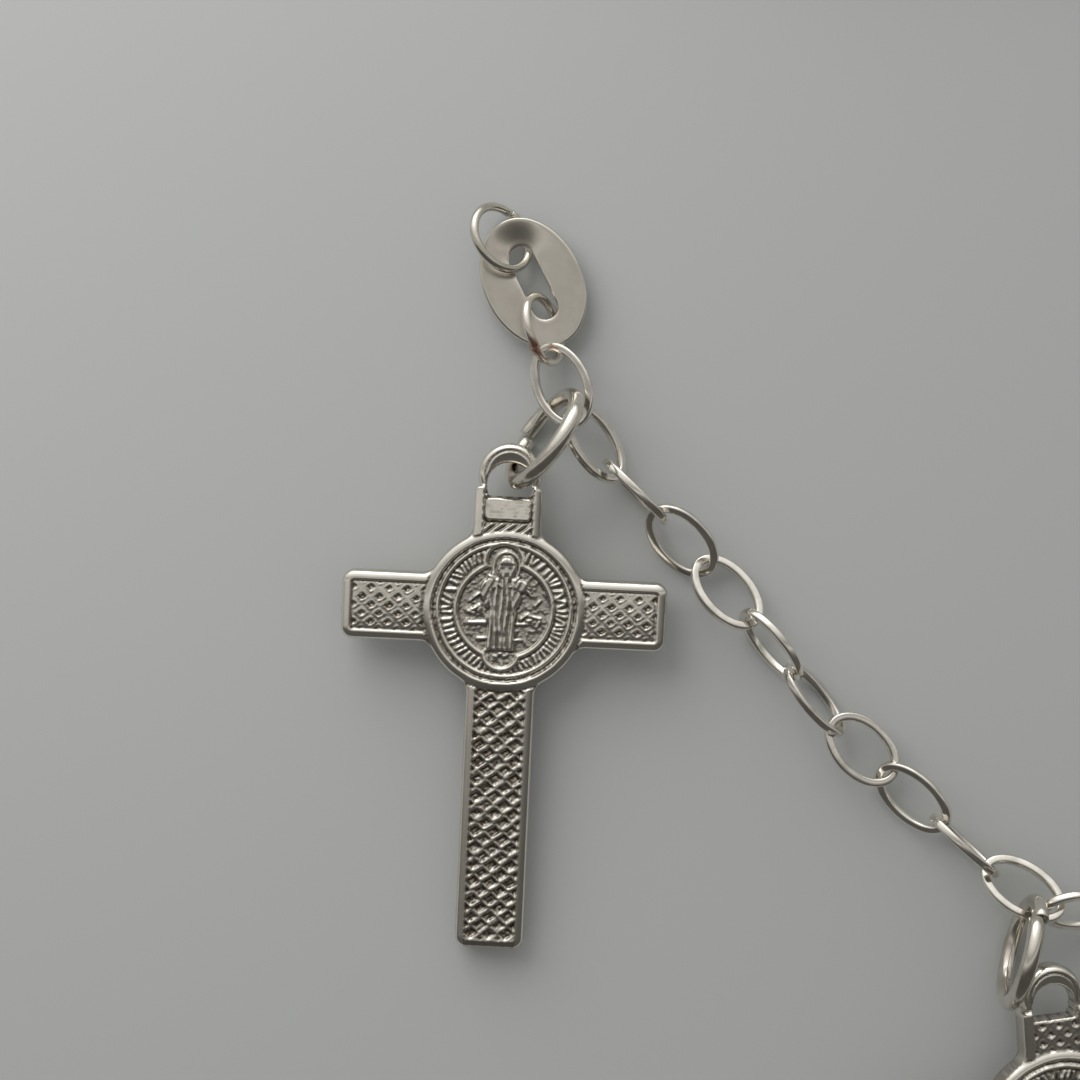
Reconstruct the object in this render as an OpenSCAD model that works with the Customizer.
// Silver charm bracelet: a cable chain with an oval end tag, a spring-ring clasp and six crosses.
// It lies open on a flat surface, z = 0, with +Z up. Millimetres.

/* [Chain link] */
// Length of a link over its ends
link_length = 4.5; // [4.4:0.05:4.6]
// Width of a link over its sides
link_width = 3; // [2.9:0.05:3.1]
// Thickness of the link wire
link_wire = 0.45; // [0.4:0.01:0.46]
// Radius of a link's round ends, at the middle of the wire
link_end = 0.9; // [0.8:0.05:1]
// Spacing of the links along the hidden stretch
link_spacing = 3.45; // [3.4:0.01:3.5]

/* [Cross] */
// Width over the two arms
cross_span = 16; // [15.5:0.1:16.5]
// Distance from the medal's centre to the foot
foot_reach = 16.85; // [16:0.1:17.5]
// Distance from the medal's centre to the middle of the eye
eye_reach = 6.83; // [6.8:0.01:6.9]
// Height of the arms and width of the beam
bar_width = 3.4; // [3.2:0.1:3.6]
// Thickness of the cross
cross_thick = 1.4; // [1.3:0.1:1.5]
// Thickness of the eye
eye_thick = 1.15; // [1:0.05:1.2]
// Radius of the round medal
medal_r = 4.05; // [3.9:0.05:4.2]
// Width of the raised border
border = 0.42; // [0.35:0.01:0.5]
// Depth of the sunk fields
sink = 0.28; // [0.2:0.01:0.35]

/* [Rings] */
// Outer diameter of the rings that carry the crosses
cross_ring_d = 5.8; // [5.7:0.05:5.9]
// Wire of the rings that carry the crosses
cross_ring_wire = 0.8; // [0.7:0.05:0.85]
// Outer diameter of the tag's two rings and of the clasp's ring
small_ring_d = 3.8; // [3.7:0.05:3.9]
// Wire of the tag's two rings and of the clasp's ring
small_ring_wire = 0.44; // [0.36:0.02:0.46]

/* [Tag] */
// Length of the oval tag
tag_length = 6.8; // [6.7:0.05:6.9]
// Width of the oval tag
tag_width = 4.95; // [4.7:0.05:5.1]
// Thickness of the oval tag
tag_thick = 0.34; // [0.3:0.02:0.4]
// Length of the tag's slot
slot_length = 3.9; // [3.8:0.05:4]
// Width of the tag's slot
slot_width = 1.25; // [1.2:0.05:1.3]

/* [Clasp] */
// Outer diameter of the clasp
clasp_d = 6; // [5.8:0.1:6.2]
// Thickness of the clasp's tube
clasp_wire = 1.3; // [1.2:0.05:1.4]

/* [Hidden] */
$fn = 40;
silver = [0.78, 0.77, 0.74];
bright_silver = [0.86, 0.85, 0.82];

// Middle of the photographed stretch, from the middle of the laid-out bracelet
view_middle = [-44.27, -7.715];
// First joint of the chain, between the tag's ring and link 1, from view_middle
chain_start = [0.37, 9.22];
chain_start_height = 1.62;

// One row for each photographed link: heading, spacing, roll, lift of the joint at its far end
HEADING = 0;
SPACING = 1;
ROLL = 2;
LIFT = 3;
PHOTO_LINKS = [
    [-66, 3.50, 19, 1.1],
    [-54, 3.10, -40, 0],
    [-45, 3.20, 90, 0],
    [-48, 3.50, 30, 0],
    [-49, 3.30, -26, 0],
    [-52, 3.50, 68, 0],
    [-50, 3.45, -62, 0],
    [-43, 3.45, -10, 0],
    [-44, 3.45, 40, 0],
    [-42, 3.50, 96, 0],
    [-31, 3.40, -31.3, 1.13],
    [-10, 2.90, 42.2, 0],
];
// One row for each hidden run: number of links, heading at its end
RUN_LINKS = 0;
RUN_HEADING = 1;
HIDDEN_RUNS = [[5, 0], [8, 58], [8, 122], [8, 180], [11, 170]];
photo_count = len(PHOTO_LINKS);
link_count = photo_count + sum([for (run = HIDDEN_RUNS) run[RUN_LINKS]]);
// Links from this one on share a node, six at a time
first_shared = 41;
run_size = 6;
hidden_roll = 45;

// One row for each cross: its link, the ring's centre out from the link and along it, the ring's turn
// and stand, the eye's distance and side from the ring's centre, the cross's swing, side roll and face
CARRIER = 0;
RING_OUT = 1;
RING_ALONG = 2;
RING_TURN = 3;
RING_STAND = 4;
EYE_OUT = 5;
EYE_SIDE = 6;
SWING = 7;
SIDE_ROLL = 8;
FACE = 9;
FRONT = 0;
BACK = 180;
CROSSES = [
    [1, 1.903, 2.066, 31.5, 108.1, 2.702, -0.163, 63.3, 0, FRONT],
    [11, 2.636, 1.188, 14.6, 84.5, 2.1, 2.22, 36, 8, BACK],
    [21, 2.2, 0.3, 8, 75, 2.6, 0, -6, 0, FRONT],
    [31, 2.2, 0.3, -6, 105, 2.6, 0, 9, 0, FRONT],
    [41, 2.2, 0.3, 10, 75, 2.6, 0, 3, 0, BACK],
    [51, 2.2, 0.3, -8, 105, 2.6, 0, -10, 0, FRONT],
];
// Height that the ring's wire lifts a cross's eye end
eye_lift = 1.3;

// Sizes along the wire's middle line
half_long = (link_length - link_wire) / 2;
half_wide = (link_width - link_wire) / 2;
cross_ring_r = (cross_ring_d - cross_ring_wire) / 2;
small_ring_r = (small_ring_d - small_ring_wire) / 2;

// Chain rule: headings, joints and heights
function sum(list, i = 0) = i < len(list) ? list[i] + sum(list, i + 1) : 0;
function towards(angle) = [cos(angle), sin(angle)];
function run_start(run) = run == 0 ? PHOTO_LINKS[photo_count - 1][HEADING] : HIDDEN_RUNS[run - 1][RUN_HEADING];
function run_heading(run, step) = run_start(run)
    + (HIDDEN_RUNS[run][RUN_HEADING] - run_start(run)) * (step + 0.5) / HIDDEN_RUNS[run][RUN_LINKS];
hidden_headings = [
    for (run = [0 : len(HIDDEN_RUNS) - 1], step = [0 : HIDDEN_RUNS[run][RUN_LINKS] - 1]) run_heading(run, step)
];
function heading(i) = i <= photo_count ? PHOTO_LINKS[i - 1][HEADING] : hidden_headings[i - photo_count - 1];
function spacing(i) = i <= photo_count ? PHOTO_LINKS[i - 1][SPACING] : link_spacing;
function roll(i) = i <= photo_count ? PHOTO_LINKS[i - 1][ROLL] : i % 2 == 0 ? hidden_roll : -hidden_roll;
function carries_cross(i) = len([for (row = CROSSES) if (row[CARRIER] == i) i]) > 0;
function lift(i) = i <= photo_count ? PHOTO_LINKS[i - 1][LIFT] : carries_cross(i) ? 0.5 : 0;
function rest_height(i) = half_wide * abs(sin(roll(i))) + link_wire / 2;
function joint_height(i) = i == 0 ? chain_start_height
    : max(rest_height(i), i < link_count ? rest_height(i + 1) : 0) + lift(i);
joints = [
    for (i = 0, at = chain_start; i <= link_count;
        i = i + 1, at = i <= link_count ? at + spacing(i) * towards(heading(i)) : at)
    [at[0], at[1], joint_height(i)]
];
function link_middle(i) = (joints[i - 1] + joints[i]) / 2;

// A round wire bent through part of a circle
module arc(r, wire, from, to) {
    rotate(from) rotate_extrude(angle = to - from) translate([r, 0]) circle(d = wire);
}

// One soldered link: two round ends, each of two arcs, and two flatter sides that meet them smoothly
module link() {
    end_x = half_long - link_end;
    side_r = (end_x * end_x + half_wide * half_wide - link_end * link_end) / (2 * (half_wide - link_end));
    side_half = atan(end_x / (side_r - half_wide));
    end_half = 90 - side_half;
    for (side = [0, 180]) rotate(side) {
        translate([end_x, 0, 0]) {
            arc(link_end, link_wire, -end_half, 0);
            arc(link_end, link_wire, 0, end_half);
        }
        translate([0, half_wide - side_r, 0]) arc(side_r, link_wire, 90 - side_half, 90 + side_half);
    }
}

// Puts a piece between two joints, with its length along them, rolled about that line
module between(a, b, roll_angle) {
    span = b - a;
    flat = norm([span[0], span[1]]);
    translate(view_middle) translate((a + b) / 2)
        rotate([0, -atan2(span[2], flat), atan2(span[1], span[0])]) rotate([roll_angle, 0, 0]) children();
}

module chain_link(i) {
    color(silver) between(joints[i - 1], joints[i], roll(i)) link();
}

module chain_run(first) {
    for (i = [first : min(first + run_size - 1, link_count)]) chain_link(i);
}

// Places in a cross's row
function outward(row) = heading(row[CARRIER]) - 90;
function ring_turn(row) = outward(row) + row[RING_TURN];
function ring_height(row) = cross_ring_r * sin(row[RING_STAND]) + cross_ring_wire / 2;
function ring_middle(row) = [link_middle(row[CARRIER])[0], link_middle(row[CARRIER])[1]]
    + row[RING_OUT] * towards(outward(row)) + row[RING_ALONG] * towards(heading(row[CARRIER]));
function hole_middle(row) = ring_middle(row) + row[EYE_OUT] * towards(ring_turn(row))
    + row[EYE_SIDE] * towards(ring_turn(row) + 90);
function cross_turn(row) = outward(row) + row[SWING] + 90;
function medal_middle(row) = hole_middle(row) + hole_reach * towards(cross_turn(row) - 90);
cross_pitch = asin(eye_lift / (foot_reach + eye_reach));
function cross_height(row) = cross_thick / 2 + max(
    foot_reach * sin(cross_pitch) + bar_width / 2 * abs(sin(row[SIDE_ROLL])),
    cross_span / 2 * abs(sin(row[SIDE_ROLL])) + bar_width / 2 * sin(cross_pitch));

// A jump ring with its fine cut at the angle cut, lying in the XY plane
module cut_ring(r, wire, cut) {
    cut_width = 2;
    arc(r, wire, cut + cut_width / 2, cut + 360 - cut_width / 2);
}

ring_cut = 250;
module cross_ring(n) {
    row = CROSSES[n - 1];
    color(silver) translate(view_middle) translate([ring_middle(row)[0], ring_middle(row)[1], ring_height(row)])
        rotate(ring_turn(row) + 180) rotate([row[RING_STAND], 0, 0]) cut_ring(cross_ring_r, cross_ring_wire, ring_cut);
}

// Outline of the cross, worked out from the medal's centre
eye_r = 1.58;
hole_r = 1.24;
hole_reach = 6.29;
plate_top = 5.6;
plate_low = 4.52;
plate_width = 2.25;
neck_width = 3.35;
neck_top = 6.15;
corner_r = 0.4;

// Corner points of a bar with rounded corners
function corner(x, y, r, from) = [for (a = [from : 18 : from + 90]) [x + r * cos(a), y + r * sin(a)]];
function rounded(x0, x1, y0, y1, r) = concat(
    corner(x1 - r, y1 - r, r, 0), corner(x0 + r, y1 - r, r, 90),
    corner(x0 + r, y0 + r, r, 180), corner(x1 - r, y0 + r, r, 270));

module bar(x0, x1, y0, y1, r = corner_r) {
    polygon(rounded(x0, x1, y0, y1, r));
}

// The small web in the corner between the medal and a bar, mirrored to all eight corners
module webs() {
    web = 0.42;
    edge = bar_width / 2;
    foot = sqrt(medal_r * medal_r - edge * edge);
    steep = asin(edge / medal_r) + 6;
    for (quarter = [0, 90, 180, 270], side = [0, 1]) rotate(quarter) mirror([0, side])
        polygon([[foot - web, edge - web], [foot + web, edge], medal_r * towards(steep)]);
}

module cross_outline() {
    bar(-cross_span / 2, cross_span / 2, -bar_width / 2, bar_width / 2);
    bar(-bar_width / 2, bar_width / 2, -foot_reach, 0);
    bar(-neck_width / 2, neck_width / 2, 0, neck_top, 0.3);
    circle(r = medal_r, $fn = 96);
    webs();
}

// The fields that lie lower than the border, outside the medal
module sunk_fields() {
    inner = bar_width / 2 - border;
    difference() {
        union() {
            bar(-cross_span / 2 + border, cross_span / 2 - border, -inner, inner, 0.1);
            bar(-inner, inner, -foot_reach + border, 0, 0.1);
            bar(-neck_width / 2 + border, neck_width / 2 - border, 0, plate_top, 0.1);
        }
        circle(r = medal_r, $fn = 96);
    }
}

// The medal's sunk rings, as inner and outer radii, and its round middle field
MEDAL_GROOVES = [[3.35, 3.67], [2.5, 3.12]];
middle_r = 2.32;

module medal_sinks() {
    for (groove = MEDAL_GROOVES) difference() {
        circle(r = groove[1], $fn = 96);
        circle(r = groove[0], $fn = 96);
    }
    circle(r = middle_r, $fn = 96);
}

// A robed figure in low relief, with a plain round head
module figure_relief() {
    robe_top = 1.35;
    robe_foot = -1.85;
    polygon([[-0.5, robe_top], [0.5, robe_top], [0.7, 0.6], [0.62, robe_foot], [-0.62, robe_foot], [-0.7, 0.6]]);
    translate([0, 1.85]) circle(r = 0.42);
    for (side = [-1, 1]) translate([side * 0.85, 0.75]) circle(r = 0.3);
}

// A plain cross with widening arms in low relief, for the back of the medal
module back_relief() {
    for (quarter = [0 : 90 : 270]) rotate(quarter)
        polygon([[-0.25, 0.25], [0.25, 0.25], [0.55, 1.95], [-0.55, 1.95]]);
    square(0.5, center = true);
}

// The plain raised plate under the eye, on the front only
module plate_relief() {
    bar(-plate_width / 2, plate_width / 2, plate_low, plate_top, 0.15);
}

module eye_hole() {
    difference() {
        translate([0, hole_reach, -cross_thick]) cylinder(r = hole_r, h = 2 * cross_thick, $fn = 64);
        translate([-2, plate_top - 4, -cross_thick]) cube([4, 4, 2 * cross_thick]);
    }
}

module cross_solid() {
    relief = sink * 0.8;
    difference() {
        union() {
            translate([0, 0, -cross_thick / 2]) linear_extrude(cross_thick) cross_outline();
            translate([0, eye_reach, -eye_thick / 2]) cylinder(r = eye_r, h = eye_thick, $fn = 64);
        }
        for (side = [0, 1]) mirror([0, 0, side]) translate([0, 0, cross_thick / 2 - sink])
            linear_extrude(sink * 2) {
                sunk_fields();
                medal_sinks();
            }
        eye_hole();
    }
    translate([0, 0, cross_thick / 2 - sink]) linear_extrude(relief) {
        figure_relief();
        plate_relief();
    }
    translate([0, 0, -cross_thick / 2 + sink - relief]) linear_extrude(relief) back_relief();
}

module cross(n) {
    row = CROSSES[n - 1];
    color(bright_silver) translate(view_middle)
        translate([medal_middle(row)[0], medal_middle(row)[1], cross_height(row)])
        rotate(cross_turn(row)) rotate([cross_pitch, row[SIDE_ROLL], 0]) rotate([0, row[FACE], 0]) cross_solid();
}

// The tag lies level on the wires that pass under it
tag_middle = [-0.34, 12.82];
tag_turn = -64;
tag_height = 0.92;

module tag() {
    slot_end = (slot_length - slot_width) / 2;
    color(bright_silver) translate(view_middle) translate([tag_middle[0], tag_middle[1], tag_height - tag_thick / 2])
        rotate(tag_turn) difference() {
            linear_extrude(tag_thick) polygon([for (a = [0 : 6 : 354])
                [tag_length / 2 * cos(a), tag_width / 2 * sin(a)]]);
            for (end = [-1, 1]) translate([end * slot_end, 0, -1]) cylinder(d = slot_width, h = 3);
            translate([-slot_end, -slot_width / 2, -1]) cube([2 * slot_end, slot_width, 3]);
        }
}

// A small ring that leans on one side: lean above 0 lifts the side on the left of its heading
module small_ring(at, turn, lean, cut) {
    height = small_ring_r * sin(abs(lean)) + small_ring_wire / 2;
    color(silver) translate(view_middle) translate([at[0], at[1], height])
        rotate(turn) rotate([lean, 0, 0]) cut_ring(small_ring_r, small_ring_wire, cut);
}

// The ring between the tag and the chain, one strand over the tag and one under it
tag_ring_middle = [0.19, 10.42];
module tag_ring() {
    small_ring(tag_ring_middle, -75.6, -62, 300);
}

// The empty ring at the tag's far end, leaning with its upper side over the tag
end_ring_middle = [-1.9, 15.0];
module end_ring() {
    small_ring(end_ring_middle, -64, -43, 129);
}

// The clasp's ring hooks the last link, and the clasp's eye hooks that ring
clasp_ring_out = 1.42;
last_heading = heading(link_count);
last_joint = [joints[link_count][0], joints[link_count][1]];
module clasp_ring() {
    small_ring(last_joint + clasp_ring_out * towards(last_heading), last_heading, -45, 90);
}

// The spring-ring clasp as one plain piece: tube, thumb knob and eye
clasp_eye_r = 1.05;
clasp_eye_wire = 0.45;
clasp_eye_up = 0.25;
clasp_out = 2.76;
clasp_side = 0.75;
module clasp() {
    ring_r = (clasp_d - clasp_wire) / 2;
    at = last_joint + clasp_out * towards(last_heading) + clasp_side * towards(last_heading + 90);
    color(silver) translate(view_middle) translate([at[0], at[1], clasp_wire / 2]) rotate(last_heading) {
        translate([0, 0, clasp_eye_up]) rotate_extrude() translate([clasp_eye_r, 0]) circle(d = clasp_eye_wire);
        translate([clasp_eye_r + ring_r + clasp_wire * 0.3, 0, 0]) {
            rotate_extrude() translate([ring_r, 0]) circle(d = clasp_wire);
            rotate(60) translate([ring_r, 0, 0]) rotate([0, 90, 0]) cylinder(d = 0.8, h = 1.3);
        }
    }
}

function two_digits(i) = i < 10 ? str("0", i) : str(i);
SINGLE_LINKS = [for (i = [1 : first_shared - 1]) str("link_", two_digits(i))];
RUNS = [for (i = [first_shared : run_size : link_count]) str("chain_run_", (i - first_shared) / run_size + 1)];
CROSS_NODES = [for (n = [1 : len(CROSSES)]) str("cross_", n)];
RING_NODES = [for (n = [1 : len(CROSSES)]) str("cross_ring_", n)];

tag();
end_ring();
tag_ring();
clasp();
clasp_ring();
for (n = [1 : len(CROSSES)]) {
    cross(n);
    cross_ring(n);
}
for (i = [1 : first_shared - 1]) chain_link(i);
for (k = [0 : len(RUNS) - 1]) chain_run(first_shared + k * run_size);
